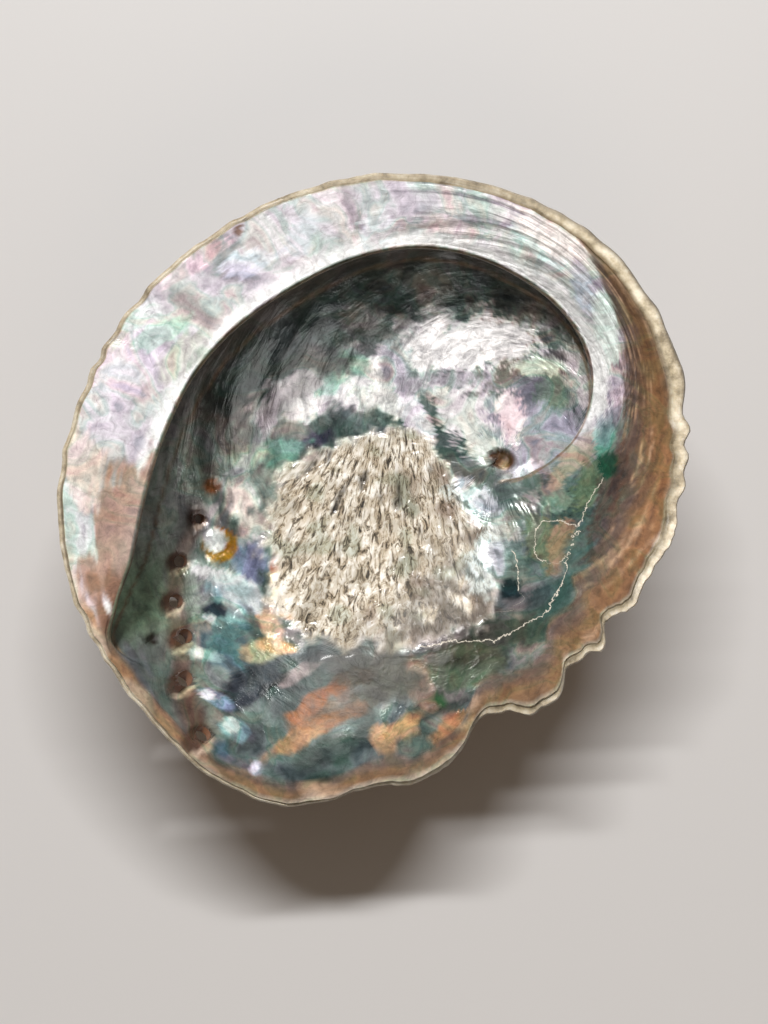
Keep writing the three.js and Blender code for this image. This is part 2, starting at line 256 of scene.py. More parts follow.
def floor_points(direction, radius, lip):
    """The floor of the bowl and of the chamber, which dips into the whorl of the spire."""
    inward = back_points(direction, radius)[1]
    dip = np.maximum(whorl_relief(direction, radius), 0)
    return wall_points(direction, radius, lip) - inward * dip[..., None]


def in_section(direction, radius, height):
    x, y = plan_place(direction, radius)
    return np.stack(np.broadcast_arrays(x, y, height), -1)


def blend(start, end, share):
    return start + (end - start) * share


def section_directions():
    """Directions round the coiling axis that space the sections evenly along the lip, and the lip's share there."""
    fine = np.linspace(0, 360, 2881)
    lip_line = in_section(fine, lip_radius(fine), 0.0)
    along = np.append(0, np.linalg.norm(np.diff(lip_line, axis=0), axis=1).cumsum())
    return np.interp(np.arange(SECTIONS) / SECTIONS, along / along[-1], fine), fine, along / along[-1]


section_at, fine_directions, fine_shares = section_directions()
direction = section_at[:, None]
lip = lip_radius(direction)
edge = edge_radius(direction)
deepest = edge + chamber_reach(direction)
height = edge_height(direction)
width = lip_width(direction)
on_ledge = ledge_share(direction)[..., None]


def along_lip(angle):
    """How far along the lip a direction is, as a share of the whole way round."""
    turns = np.floor(angle / 360)
    return turns + np.interp(angle - 360 * turns, fine_directions, fine_shares)


def shares(first, count, last):
    """Even steps from 0 to 1 in count parts, as one row that starts and stops at the given steps."""
    return (np.arange(first, last) / count)[None, :]


# The floor, the rounded wall of the chamber under the ledge, and the ledge's rounded inner edge. In the open
# front, where there is no ledge, the same rows of points lie along the floor.
floor = floor_points(direction, deepest * shares(1, FLOOR_STEPS, FLOOR_STEPS) ** 0.85, lip)
wall = floor_points(direction, deepest, lip)
up_wall = wall - floor_points(direction, deepest - 1, lip)
up_wall /= np.linalg.norm(up_wall, axis=-1, keepdims=True)
under = in_section(direction, edge + EDGE_ROUND, height - 2 * EDGE_ROUND)
outwards = in_section(direction, edge + 2, 0.0) - in_section(direction, edge + 1, 0.0)
bend = 0.4 * np.linalg.norm(wall - under, axis=-1, keepdims=True)
t = shares(0, CHAMBER_STEPS, CHAMBER_STEPS)
rest = 1 - t[..., None]
near_wall = wall * rest**3 + 3 * (wall + up_wall * bend) * rest**2 * (1 - rest)
chamber = near_wall + 3 * (under + outwards * bend) * rest * (1 - rest) ** 2 + under * (1 - rest) ** 3
chamber = blend(floor_points(direction, blend(deepest, edge, t), lip), chamber, on_ledge)
t = shares(0, EDGE_STEPS, EDGE_STEPS)
roll = -math.pi / 2 - math.pi * t
rolled = in_section(
    direction,
    edge + EDGE_ROUND + EDGE_ROUND * np.cos(roll),
    height - EDGE_ROUND + EDGE_ROUND * np.sin(roll),
)
inner_edge = blend(floor_points(direction, edge + EDGE_ROUND * t, lip), rolled, on_ledge)

# The ledge's top runs from the inner edge to the border of the nacre, just inside the lip.
rim, rim_inward = back_points(direction, lip)
border_back, border_inward = back_points(direction, lip - width)
sloping = border_back[..., 2] + NEAR_LIP * WALL / border_inward[..., 2]
level = rim[..., 2] + LIP * 0.5 + LIP_STEP
border_height = blend(sloping, level, level_share(direction))
border = in_section(direction, lip - width, border_height)
start = edge + EDGE_ROUND
lift = height - wall_points(direction, start, lip)[..., 2]


def ledge_top(t):
    plain = wall_points(direction, blend(start, lip - width * 0.5, t), lip)
    plain[..., 2] += lift * on_ledge[..., 0] * (1 - t) ** 1.6
    crown = LEDGE_CROWN * np.sin(np.pi * t)
    shelf = in_section(direction, blend(start, lip - width, t), blend(height, border_height, t) + crown)
    return blend(plain, shelf, shelf_share(direction)[..., None])


t = shares(0, TOP_STEPS, TOP_STEPS + 1)
miss = border - ledge_top(np.ones((1, 1)))
top = ledge_top(t) + miss * t[..., None] ** 3

# The thin outer layer at the lip is a step below the nacre, and its edge is rounded over to the back.
lip_top = rim + rim_inward * LIP * 0.6
lip_top[..., 2] += LIP * 0.5
step_foot = blend(border, rim, 0.2)
step_foot[..., 2] -= LIP_STEP * 0.5
lip_row = blend(step_foot, lip_top, shares(0, LIP_STEPS, LIP_STEPS + 1)[..., None])

# The back, from the lip in to the axis, with its whorl, cords and growth folds.
t = shares(0, BACK_STEPS, BACK_STEPS)
radius = lip * (1 - t) ** 0.85
back, back_inward = back_points(direction, radius)
turn = growth_turn(direction, radius)
around = along_lip(direction - np.degrees(turn))
size = ease(radius / lip, 0.1, 0.7)
cords = np.cos(2 * np.pi * CORDS * around)
folds = np.cos(2 * np.pi * turn / FOLD_TURN + 1.3 * np.sin(np.radians(3 * direction)))
cap = CAP_RISE * np.exp(-((radius / CAP_REACH) ** 2))
relief = whorl_relief(direction, radius) + size * (CORD_RISE * cords + FOLD_RISE * folds) + cap
back -= back_inward * (relief * ease(t * BACK_STEPS, -1, 5))[..., None]

grid = np.concatenate([floor, chamber, inner_edge, top, lip_row, back], axis=1)
first_top = FLOOR_STEPS - 1 + CHAMBER_STEPS + EDGE_STEPS
first_lip = first_top + TOP_STEPS + 1
first_back = first_lip + LIP_STEPS + 1


# The relief of the shell.
# Nacre copies the folds of the outer layer softly, and is rough only where the muscle was torn off. The lip is
# scalloped where cords end at it. On the back, closed breathing holes stay as knobs along the whorl.
SCAR_OUTLINE = [
    (8, 24.5), (38, 24), (57, 27), (72, 32), (90, 32), (120, 31), (143, 35), (162, 36.5), (184, 36), (206, 37), (227, 37),
    (249, 32.5), (275, 29.7), (303, 30), (325, 36), (336, 32), (347, 26.5),
]
FAN_HEAD = (9, 48)
SCALLOPS = 40
SCALLOP_DEPTH = [
    (0, 0.9), (20, 0.8), (50, 0.25), (90, 0.1), (130, 0.15), (155, 0.3), (200, 0.25), (225, 0.15), (262, 0.3),
    (300, 0.5),
]
CHIP_DEPTH = [(0, 0.25), (60, 0.1), (150, 0.25), (230, 0.2), (255, 0.5), (275, 0.9), (320, 0.8), (345, 0.4)]
# The breathing holes, oldest first: direction and radius round the coiling axis, and the bore's radius.
HOLES = [(191.1, 85.5, 1.3), (197.6, 93.2, 1.7), (203.6, 98, 1.8), (209.3, 100, 1.9), (214.8, 105, 2), (222.4, 108.8, 2.1)]
HOLE_SWELL = 1.7
HOLE_SWELL_REACH = 3.4
KNOB_STRIDE = 6.2
KNOBS = 24
BLISTER = (-42, -12.3)
# Growth coordinates are wound round a circle as long as the lip, so that they have no seam.
LIP_GIRTH = 76
GROWTH_STEP = 40
SPIRE_BOWL = (48.5, 19)
SPIRE_BOWL_REACH = 15
HOLLOWS = [(-43.2, 2.9, 2.2, 0.7), (-57.1, -37.9, 1.3, 1.8), (-29.3, -71.5, 1.4, 1.0)]
PIT_DEPTH = 2.6


def bumps(points, size, seed=0):
    """Smooth random swells about this size, from -1 to 1."""
    places = (points / np.array(size) + 7.3 * seed).reshape(-1, 3).tolist()
    return np.array([noise.noise(place) for place in places]).reshape(points.shape[:-1])


def grid_normals(grid):
    """Which way each point of the sections faces."""
    along = np.gradient(grid, axis=1)
    across = (np.roll(grid, -1, axis=0) - np.roll(grid, 1, axis=0)) / 2
    normal = np.cross(along, across)
    return normal / np.maximum(np.linalg.norm(normal, axis=-1, keepdims=True), 1e-9)


x, y = grid[..., 0], grid[..., 1]
plan_radius = np.hypot(x - AXIS[0], y - AXIS[1])
plan_direction = np.degrees(np.arctan2(y - AXIS[1], x - AXIS[0]))
grid_turn = growth_turn(plan_direction, plan_radius)
grid_around = along_lip(plan_direction - np.degrees(grid_turn))
from_lip = lip - plan_radius
lip_turn = 2 * np.pi * grid_around
flow = np.stack([LIP_GIRTH * np.cos(lip_turn), LIP_GIRTH * np.sin(lip_turn), GROWTH_STEP * grid_turn], -1)
column = np.arange(grid.shape[1])[None, :]
inside = (column < first_lip).astype(float)
on_top = ((column >= first_top) & (column < first_lip)).astype(float) * on_ledge[..., 0]
on_floor = np.where(column < first_top - EDGE_STEPS, 1.0, (1 - on_ledge[..., 0]) * (column < first_lip))
on_back = ease(column, first_back, first_back + 8)

# Inside, where the muscle was torn off, rows of small flakes stand up, with pits between them.
scar_x, scar_y = x - MUSCLE_SCAR[0], y - MUSCLE_SCAR[1]
scar_share = np.hypot(scar_x, scar_y) / by_direction(SCAR_OUTLINE)(np.degrees(np.arctan2(scar_y, scar_x)))
flat = grid * np.array([1, 1, 0])
scar_share = scar_share + 0.12 * bumps(flat, 7, 1) + 0.07 * bumps(flat, 2, 2)
scar = on_floor * (1 - ease(scar_share, 0.88, 1.03))
fan_turn = np.arctan2(x - FAN_HEAD[0], FAN_HEAD[1] - y)
fan_reach = np.hypot(x - FAN_HEAD[0], FAN_HEAD[1] - y)
fan = np.stack([60 * fan_turn, 0.36 * fan_reach, 0 * x], -1)
flakes = np.abs(bumps(fan, 2.2, 3)) + 0.5 * np.abs(bumps(fan, 1.1, 4))
pits = ease(bumps(fan, 3.2, 5), 0.35, 0.6) * ease(y, -30, 10)
relief_inside = scar * (0.7 * flakes - 0.9 * pits)

# The folds of the back show through softly, most in the thin open front.
front = ease(from_lip, 30, 8) * (1 - on_top) * ease(plan_radius, 40, 60)
folds = np.cos(2 * np.pi * grid_turn / FOLD_TURN + 1.3 * np.sin(np.radians(3 * plan_direction)))
relief_inside += on_floor * (1 - scar) * 0.45 * ease(plan_radius, 20, 60) * folds * (0.6 + 0.4 * bumps(flat, 14, 6))
relief_inside += front * 0.2 * np.cos(2 * np.pi * CORDS * grid_around)
relief_inside += on_floor * (1 - scar) * (0.35 * bumps(grid, 9, 7) + 0.15 * bumps(grid, 4, 8))

# Ribs run from between the breathing holes down the floor.
hole_line = plan_radius - np.interp(plan_direction % 360, [h[0] for h in HOLES], [h[1] for h in HOLES])
by_holes = np.exp(-(((hole_line + 6) / 6) ** 2)) * ease(plan_direction % 360, 186, 193) * (1 - ease(plan_direction % 360, 224, 232))
relief_inside += on_floor * by_holes * 0.55 * np.cos(2 * np.pi * (plan_direction % 360 - 194.4) / 6.1)

# The ledge's top is gently uneven across, and smooth at its rolled inner edge.
across = np.stack([grid_turn * 60, from_lip * 0.45, 0 * x], -1)
radial = np.stack([1.4 * (plan_direction % 360), 0.3 * from_lip, 0 * x], -1)
uneven_top = blend(
    0.4 * bumps(radial, 9, 9) + 0.16 * bumps(radial, 4, 10),
    0.4 * bumps(across, 11, 9) + 0.14 * bumps(across, 3.5, 10),
    ease(x, -10, 30),
)
relief_inside += on_top * ease(column, first_top, first_top + 8) * uneven_top

# A small blister of nacre stands beside the oldest holes.
blister = np.hypot(x - BLISTER[0], y - BLISTER[1])
relief_inside += on_floor * (1.0 * np.exp(-((blister / 2.4) ** 2)) - 0.35 * np.exp(-(((blister - 3.6) / 1.0) ** 2)))

# The newest part of the spire's floor is a shallow bowl with a thin ridge along its upper left side.
bowl_away = np.hypot(x - SPIRE_BOWL[0], y - SPIRE_BOWL[1]) / SPIRE_BOWL_REACH
bowl_side = ease(np.cos(np.radians(np.degrees(np.arctan2(y - SPIRE_BOWL[1], x - SPIRE_BOWL[0])) - 125)), 0.1, 0.7)
relief_inside -= on_floor * 0.9 * (1 - ease(bowl_away, 0.3, 1.0))
relief_inside += on_floor * 0.45 * bowl_side * np.exp(-(((bowl_away - 1) / 0.05) ** 2))

# Each open hole is a small funnel on the inside.
for hole_direction, hole_radius, bore in HOLES:
    hole_x, hole_y = plan_place(hole_direction, hole_radius)
    from_hole = np.hypot(x - hole_x, y - hole_y) / (bore + 1.3)
    relief_inside -= on_floor * 0.9 * np.exp(-(from_hole**4))

# Small hollows: the oldest breathing hole, filled from inside, a worm's hole in the wall and a notch in the lip.
for hollow_x, hollow_y, reach, depth in HOLLOWS:
    relief_inside -= on_floor * depth * np.exp(-((np.hypot(x - hollow_x, y - hollow_y) / reach) ** 4))

# On the back: fine cords between the main ones, knobs of closed holes, swells round the open ones, and crust.
fine_cords = np.cos(2 * np.pi * 4 * CORDS * grid_around + 1.5 * bumps(grid, 12, 11))
crust = ease(bumps(grid, 16, 12), 0.05, 0.5) * (0.5 * np.abs(bumps(grid, 3, 13)) + 0.25 * np.abs(bumps(grid, 1.6, 14)))
relief_back = 0.16 * fine_cords * ease(plan_radius / lip, 0.15, 0.5) + crust + 0.12 * bumps(grid, 2.4, 15)
for n in range(KNOBS):
    knob_direction = 184.7 - KNOB_STRIDE * n
    knob_radius = 0.89 * edge_radius(knob_direction)
    knob_x, knob_y = plan_place(knob_direction, knob_radius)
    knob = knob_radius / 80
    relief_back += 1.3 * knob * np.exp(-(np.hypot(x - knob_x, y - knob_y) / (2.1 * knob)) ** 2)
for hole_direction, hole_radius, bore in HOLES:
    hole = back_points(np.array(hole_direction), np.array(hole_radius))[0]
    relief_back += HOLE_SWELL * np.exp(-((np.linalg.norm(grid - hole, axis=-1) / HOLE_SWELL_REACH) ** 2))

normals = grid_normals(grid)
keep_pole = ease(plan_radius, 0.5, 4)
grid += normals * (keep_pole * (inside * relief_inside + on_back * relief_back))[..., None]

# In the middle of the spire is a small blind pit.
from_pit = np.hypot((x - AXIS[0]) * 0.85 + (y - AXIS[1]) * 0.2, (y - AXIS[1]) * 1.1)
grid[..., 2] -= inside * PIT_DEPTH * (1 - ease(from_pit, 1.8, 3.6))

# The lip is scalloped, and chipped where it was knocked.
lip_around = along_lip(direction)
lip_line = in_section(direction, lip, 0.0)
uneven = 2.5 * np.sin(14 * np.pi * lip_around) + 5 * bumps(lip_line, 22, 19)
scallop = by_direction(SCALLOP_DEPTH)(direction) * np.cos(2 * np.pi * SCALLOPS * lip_around + uneven)
scallop = scallop * (1 + 1.2 * bumps(lip_line, 15, 20))
chip = by_direction(CHIP_DEPTH)(direction) * (bumps(lip_line, 4, 16) + 0.6 * bumps(lip_line, 1.7, 17))
near_lip = ease(from_lip, 9, 0.5) * (column >= first_top)
outwards = (in_section(direction, lip, 0.0) - in_section(direction, lip - 1, 0.0))
grid += outwards * ((scallop + chip) * near_lip)[..., None]
grid[..., 2] += 0.6 * scallop * near_lip


# The colours of the nacre.
# Nacre shows other colours where its layers have another thickness: silver where they are even, deep green and copper
# towards the lip. Soft patches are laid over plain base colours, all with ragged borders; a few of them are painted
# highlights, reflections and shadow.
FLOOR_PATCHES = [
    # Place, half length, half width and tilt of each patch, its colour and how strongly it covers.
    (-36, 10, 14, 9, 75, "#9aa09e", 0.8),  # grey wall right of the oldest holes
    (-19, 27, 15, 6, 25, "#f4eef0", 0.95),  # pale nacre above the muscle scar, brightened by a painted reflection
    (-27, 23, 7, 4, 60, "#d9cfd4", 0.8),
    (0, 30, 12, 6, 15, "#e3e3e0", 0.9),
    (8, 25, 9, 4, 150, "#f6f4f2", 0.9),
    (24, 41, 23, 8, 0, "#fffbfc", 1.0),  # the floor beside the ledge's shadow, made brightest by a painted reflection
    (8, 36, 4, 9, 15, "#8f9099", 0.8),
    (-10, 32, 3, 7, 150, "#7fa398", 0.8),  # green feathers
    (-3, 36, 3, 4, 30, "#8fb3a6", 0.7),
    (-16, 15, 6, 2.5, 25, "#2f2d40", 0.95),  # one dark blue spot
    (-25, 12, 9, 4, 15, "#6f978b", 0.8),
    (-33, 12, 4, 5, 90, "#b9c4b2", 0.7),
    (20, 31, 14, 3.5, 8, "#a3a2a6", 0.85),  # a grey band towards the spire
    (27, 22, 12, 8, 150, "#dad5d5", 0.95),
    (13, 22, 8, 4, 120, "#d6cfda", 0.8),
    (47, 18, 15, 15, 0, "#8d8d94", 1.0),  # the spire's silver bowl
    (43, 30, 7, 4, 20, "#6f7078", 0.9),
    (50, 27, 6, 4, 120, "#6b7f71", 0.8),
    (39, 22, 3.5, 8, 10, "#e6d3d2", 0.95),
    (46, 35, 6, 2.5, 0, "#e6f5e0", 0.9),
    (57, 30, 3.5, 9, 20, "#c4c1be", 0.8),
    (50, 16, 8, 7, 50, "#9a9da6", 0.9),
    (33, 13, 4, 3, 0, "#e3dfdc", 0.8),
    (55, 10, 3, 11, 140, "#9d9081", 0.9),  # bare grey layer outside the spire
    (30, 5, 9, 3, 170, "#515a56", 0.9),
    (40, 2, 9, 2.5, 20, "#4c5a55", 0.9),
    (28, -2, 6, 4, 150, "#86989a", 0.8),
    (38, -17, 4, 11, 160, "#5f6d6b", 0.9),
    (33, -12, 3, 8, 150, "#5b6e6b", 0.8),
    (38, -25, 2.6, 3.2, 150, "#172b2e", 1.0),
    (58, 2, 4, 8, 155, "#5c6955", 0.9),  # deep green beside the white crack
    (50, -2, 5, 3, 20, "#6f8277", 0.9),
    (46, -12, 4, 8, 5, "#626b58", 0.9),
    (51, -13, 3, 9, 165, "#8b735d", 0.9),
    (57, -14, 4, 14, 155, "#4b5f5e", 0.85),
    (47, -29, 5, 10, 140, "#344b48", 0.85),
    (63, -4, 4, 18, 170, "#4a3f3b", 0.85),
    (36, -38, 18, 4.5, 20, "#3b4a42", 0.9),  # dark green below the muscle scar
    (24, -46, 12, 5, 20, "#4f5b49", 0.9),
    (18, -54, 3, 2.2, 0, "#2a5c33", 0.9),
    (14, -50, 3.5, 9, 15, "#9c8070", 0.8),
    (2, -46, 9, 4, 10, "#3c4742", 0.85),
    (4, -52, 10, 3.5, 30, "#39473d", 0.85),
    (-13, -55, 8, 3, 35, "#7c4826", 0.95),  # copper patches
    (-10, -60, 9, 2.5, 20, "#7f5535", 0.9),
    (-20, -65, 8, 2.2, 20, "#a27b58", 0.9),
    (-13, -57, 9, 4, 30, "#85501c", 0.45),
    (8, -61, 8, 3.5, 30, "#b38c66", 0.9),
    (22, -60, 6, 3, 30, "#ab7653", 0.8),
    (-3, -49, 5, 2.2, 10, "#4c4737", 0.8),
    (-9, -67, 9, 3.6, 22, "#31403b", 0.9),  # one dark oval
    (-19, -48, 9, 2.2, 35, "#a0928f", 0.7),
    (-26, -51, 6, 1.6, 35, "#171b1c", 0.95),  # a dark crack below the scar
    (-12, -43, 12, 2.2, 5, "#2f3a3c", 0.9),
    (-33, -52, 10, 5, 30, "#1c2731", 0.9),
    (-38, -40, 7, 7, 0, "#4b6b72", 0.9),
    (-38, -28, 6, 8, 0, "#88adb2", 0.85),
    (-43, -31, 3.5, 2.5, 0, "#1c2236", 0.9),
    (-30, -42, 5, 3, 0, "#a7a384", 0.9),
    (-25, -41, 6, 2.2, 170, "#c79c6c", 0.9),
    (-24.5, -25, 5, 2.8, 100, "#e6cfae", 0.9),
    (-20, -33, 10, 1.4, 0, "#b07a35", 0.85),
    (-26, -19, 1.4, 1.3, 0, "#8f4a1c", 1.0),
    (-26, -35, 3.5, 6, 20, "#d2b295", 0.7),
    (-33, -19, 4.5, 8, 0, "#77809a", 0.85),
    (-36, -2, 6, 5, 0, "#d4cfca", 0.95),
    (-33, -8, 4, 5, 0, "#c9c2c0", 0.8),
    (-40, -22, 9, 1.6, 165, "#ffffff", 1.0),  # painted highlights on the ribs between the breathing holes
    (-35, -26, 7, 4.5, 150, "#dcecea", 0.9),
    (-44, -33, 2.2, 1.2, 165, "#e6eef4", 0.9),
    (-43, -43, 6, 1.3, 165, "#a9cdc4", 0.7),
    (-46.5, -42, 2, 1.1, 165, "#f6fff9", 0.95),
    (-40, -54.5, 5, 2, 150, "#8fa4c0", 0.7),
    (-42.5, -53, 2, 1.2, 150, "#eef4ff", 0.95),
    (-34, -62, 5, 2.4, 150, "#8fb9c0", 0.7),
    (-36, -60.5, 2.2, 1.6, 150, "#dff6f2", 0.9),
    (-38, -66, 2.5, 2.5, 0, "#2d4f5e", 0.8),
    (62, 17, 2.6, 7, 0, "#578b80", 0.95),  # teal at the foot of the ledge
    (63, 8, 2.4, 3.5, 0, "#1b4536", 0.95),
]
LEDGE_PATCHES = [
    (-62, -14, 9, 24, 170, "#8f6d57", 0.85),  # bare tan end of the ledge
    (-60, -34, 11, 17, 170, "#83604b", 0.95),
    (-72, 8, 5, 12, 0, "#c9b6b0", 0.8),
    (-60, 32, 12, 7, 50, "#d8cfdc", 0.8),
    (-52, 40, 8, 2.5, 30, "#a9c4b6", 0.8),
    (-47, 34, 4, 8, 140, "#b0b4a6", 0.7),
    (-44, 57, 10, 2.5, 35, "#c4adb4", 0.8),
    (-30, 58, 9, 3, 20, "#d2d5e4", 0.7),
    (-16, 66, 7, 3, 60, "#c9c2d0", 0.7),
    (2, 66, 5, 4, 40, "#d3d6dc", 0.9),
    (20, 68, 9, 2, 170, "#e6c8cf", 0.6),
    (45, 62, 9, 3, 145, "#d6efec", 0.8),
    (48, 65, 12, 4.5, 145, "#fff3f0", 0.95),
    (55, 52, 2.5, 7, 20, "#cfcbe4", 0.8),
    # Painted highlights on the right of the ledge, where it slopes away from the light.
    (61, 42, 3.4, 9, 10, "#eefff8", 1.0),
    (58, 30, 4.4, 12, 5, "#ffffff", 1.0),
    (-32, 66, 1.2, 1.5, 0, "#5e3f27", 0.9),
]


TOP_LINES = [(0, 0.2), (30, 0.28), (90, 0.3), (120, 0.15), (200, 0.15), (300, 0.25)]
DOUBLE_LINE = [(0, 0.5), (20, 0.8), (50, 1.0), (80, 0.7), (100, 0.2), (300, 0), (340, 0.2)]
LEDGE_COLOUR = [(0, 0), (14, 0.2), (30, 1), (203, 1), (212, 0), (300, 0)]


def linear(code):
    """The linear colour of an sRGB hex code."""
    values = np.array([int(code[i : i + 2], 16) for i in (1, 3, 5)]) / 255
    return np.where(values <= 0.04045, values / 12.92, ((values + 0.055) / 1.055) ** 2.4)


def paint(tint, code, cover):
    return blend(tint, linear(code), np.clip(cover, 0, 1)[..., None])


def patch_cover(patch_x, patch_y, half_length, half_width, tilt, ragged):
    """How far each point lies in a soft patch with a ragged border."""
    across, up = x - patch_x, y - patch_y
    c, s = math.cos(math.radians(tilt)), math.sin(math.radians(tilt))
    away = np.hypot((across * c + up * s) / half_length, (up * c - across * s) / half_width)
    return 1 - ease(away + ragged, 0.75, 1.15)


ragged = 0.45 * bumps(flat, 6, 21) + 0.4 * bumps(flow, (8, 8, 2.2), 22) + 0.25 * bumps(flow, (3.5, 3.5, 1.1), 23)
streaks = bumps(flow, (22, 22, 2.5), 24) + 0.6 * bumps(flow, (9, 9, 1.1), 25)
cloud = bumps(flat, 12, 26)

# Base colours: grey-violet on the left wall and grey-green in front, with a painted shadow under the ledge.
tint = np.zeros(x.shape + (3,)) + linear("#5c6a68")
tint = paint(tint, "#33423f", 0.8 * ease(cloud, -0.1, 0.4))
tint = paint(tint, "#857c78", 0.7 * ease(-cloud, 0.0, 0.4))
tint = paint(tint, "#1f2c2e", 0.7 * ease(streaks, 0.25, 0.6))
bowl_x = x + 0.25 * y
tint = paint(tint, "#949b95", 0.9 * ease(bowl_x, -38, -48) * ease(y, -75, -20))
tint = paint(tint, "#3f4c4a", 0.85 * ease(bowl_x, -60, -68) * ease(y, -20, -35))
tint = paint(tint, "#7f9a7c", 0.7 * ease(bowl_x, -50, -60) * (1 - ease(np.abs(y + 26), 4, 16)))
tint = paint(tint, "#6e6a78", 0.5 * ease(bowl_x, -38, -48) * ease(streaks, 0.1, 0.5))
for patch in FLOOR_PATCHES:
    tint = paint(tint, patch[5], patch[6] * patch_cover(*patch[:5], ragged))
# A painted shadow: dark brown over the floor and the chamber wall under the ledge, where the ledge shades them.
in_shadow = on_ledge[..., 0] * ease(plan_radius - edge, -4, 4) * (column < first_top - EDGE_STEPS)
tint = paint(tint, "#483d35", 0.85 * in_shadow * ease(plan_direction % 360, 20, 60) * (1 - ease(plan_direction % 360, 165, 190)))

# The muscle scar is silver and tan, with painted highlights on its raised flakes and painted shade in its pits.
tint = paint(tint, "#cfc5b6", scar)
# The raised flakes are whiter: their own silver, brightened as a painted highlight.
tint = paint(tint, "#f6f3ee", 0.9 * scar * ease(flakes, 0.2, 0.45))
tint = paint(tint, "#a9a294", 0.7 * scar * ease(-bumps(flat, 9, 27), 0.0, 0.4))
tint = paint(tint, "#857468", 0.85 * scar * ease(bumps(flat, 8, 31) + 0.02 * (x - 14), 0.0, 0.4))
tint = paint(tint, "#8e9c88", 0.5 * scar * ease(bumps(flat, 6, 32), 0.2, 0.5))
worn = scar * ease(x - y, 26, 52)
tint = paint(tint, "#4f4740", 0.85 * worn * ease(bumps(flat, 3, 35), -0.6, 0.1))
# Painted shade in the pits between the flakes.
tint = paint(tint, "#2a241f", 0.9 * scar * pits)
# Painted reflections: pale grey-blue plates of light on the smooth floor right of the scar, with darker specks in
# them.
painted_reflection = np.maximum(patch_cover(33, -16, 5, 13, 160, ragged), patch_cover(28, 0, 8, 4.5, 150, ragged))
painted_reflection = np.maximum(painted_reflection, patch_cover(50, -1, 6, 2.2, 25, ragged)) * on_floor
tint = paint(tint, "#d0dadc", 0.9 * painted_reflection)
tint = paint(tint, "#4a524e", 0.85 * painted_reflection * ease(bumps(flat, 2.0, 34), 0.12, 0.35))
umber = np.maximum(patch_cover(2, -49, 15, 9, 10, ragged), patch_cover(32, -37, 18, 6, 20, ragged)) * on_floor * (1 - scar)
tint = paint(tint, "#3a2d22", 0.55 * umber)

# The ledge is silver-lilac, and towards the lip a band of tan and brown runs round the right and the front.
top_tint = np.zeros(x.shape + (3,)) + linear("#b6b3b8")
to_right = ease(x, -10, 30)
top_tint = paint(top_tint, "#c3d3cb", 0.6 * ease(bumps(radial, 13, 28), 0.05, 0.35))
top_tint = paint(top_tint, "#dbcace", 0.6 * ease(bumps(radial, 10, 29), 0.05, 0.35))
top_tint = paint(top_tint, "#88838c", 0.85 * to_right * ease(bumps(across, 7, 30), 0.15, 0.4))
top_tint = paint(top_tint, "#7f7b80", 0.8 * (1 - to_right) * ease(bumps(radial, 6, 30), 0.1, 0.45))
# A painted highlight along the ledge's rolled inner edge.
top_tint = paint(top_tint, "#ffffff", 0.9 * ease(plan_radius - edge, 6.5, 1.5))
for patch in LEDGE_PATCHES:
    top_tint = paint(top_tint, patch[5], patch[6] * patch_cover(*patch[:5], ragged))
ledge_colour = on_top * by_direction(LEDGE_COLOUR)(plan_direction)
tint = blend(tint, top_tint, ledge_colour[..., None])
BAND_WIDTH = [
    (0, 14.5), (20, 14.5), (45, 11), (60, 8), (80, 2.5), (110, 0.8), (150, 0.6), (195, 1), (205, 2.5), (215, 3.5),
    (230, 4.5), (240, 6), (252, 7), (265, 9), (285, 12), (310, 13), (335, 14),
]
band_share = from_lip / by_direction(BAND_WIDTH)(plan_direction) + 0.22 * ragged
band = inside * (1 - ease(band_share, 0.85, 1.1))
tint = paint(tint, "#70563b", band)
tint = paint(tint, "#4f4542", 0.85 * band * ease(band_share, 0.5, 0.9))
to_orange = 1 - ease(np.abs((plan_direction + 180) % 360 - 158), 15, 60)
tint = paint(tint, "#8c6442", 0.75 * band * (1 - ease(band_share, 0.35, 0.85)) * to_orange)
to_front_left = 1 - ease(np.abs(plan_direction % 360 - 213), 10, 25)
tint = paint(tint, "#a67f5e", 0.85 * inside * to_front_left * (1 - ease(from_lip + ragged, 2.5, 4)))
tint = paint(tint, "#bd9f7e", 0.5 * band * ease(streaks, 0.15, 0.7))
tint = paint(tint, "#553f31", 0.5 * band * ease(-streaks, 0.1, 0.7))
PALE_LIP = [(0, 0.9), (50, 0.7), (90, 0.3), (160, 0.25), (200, 0.5), (250, 0.3), (300, 0.6), (340, 0.9)]
pale_lip = by_direction(PALE_LIP)(plan_direction)
tint = paint(tint, "#bdae94", 0.8 * inside * (1 - ease(from_lip + ragged, 0.4, 0.9 + 1.2 * pale_lip)))
tint = paint(tint, "#6f5a45", 0.8 * on_ledge[..., 0] * inside * (1 - ease(np.abs(plan_radius - edge - 0.2), 0.2, 0.7)))

# The thin outer layer past the nacre is horn-coloured, and palest at its very edge.
on_lip = ((column >= first_lip - 1) & (column < first_back + 3)).astype(float)
out_of_nacre = ease(from_lip / width, 1.0, 0.2) + 0.3 * ragged
tint = paint(tint, "#8f8673", on_lip)
tint = paint(tint, "#6b604f", 0.7 * on_lip * ease(streaks, 0.1, 0.5))
tint = paint(tint, "#e3dac9", on_lip * ease(out_of_nacre, 0.3, 0.9) * pale_lip)
tint = paint(tint, "#d9cfbd", 0.85 * inside * pale_lip * (1 - ease(from_lip + 3 * bumps(flat, 8, 33), 0.8, 2.6)))
double_line = by_direction(DOUBLE_LINE)(plan_direction)
tint = paint(tint, "#6e5a42", 0.8 * double_line * (1 - ease(np.abs(from_lip / width - 1 + 0.2 * ragged), 0.05, 0.3)))
tint = paint(tint, "#e6dcc6", 0.7 * double_line * (1 - ease(np.abs(from_lip / width - 0.6), 0.05, 0.3)) * on_lip)
tint = paint(tint, "#7d7566", double_line * on_lip * (1 - ease(from_lip / width, 0.1, 0.35)))
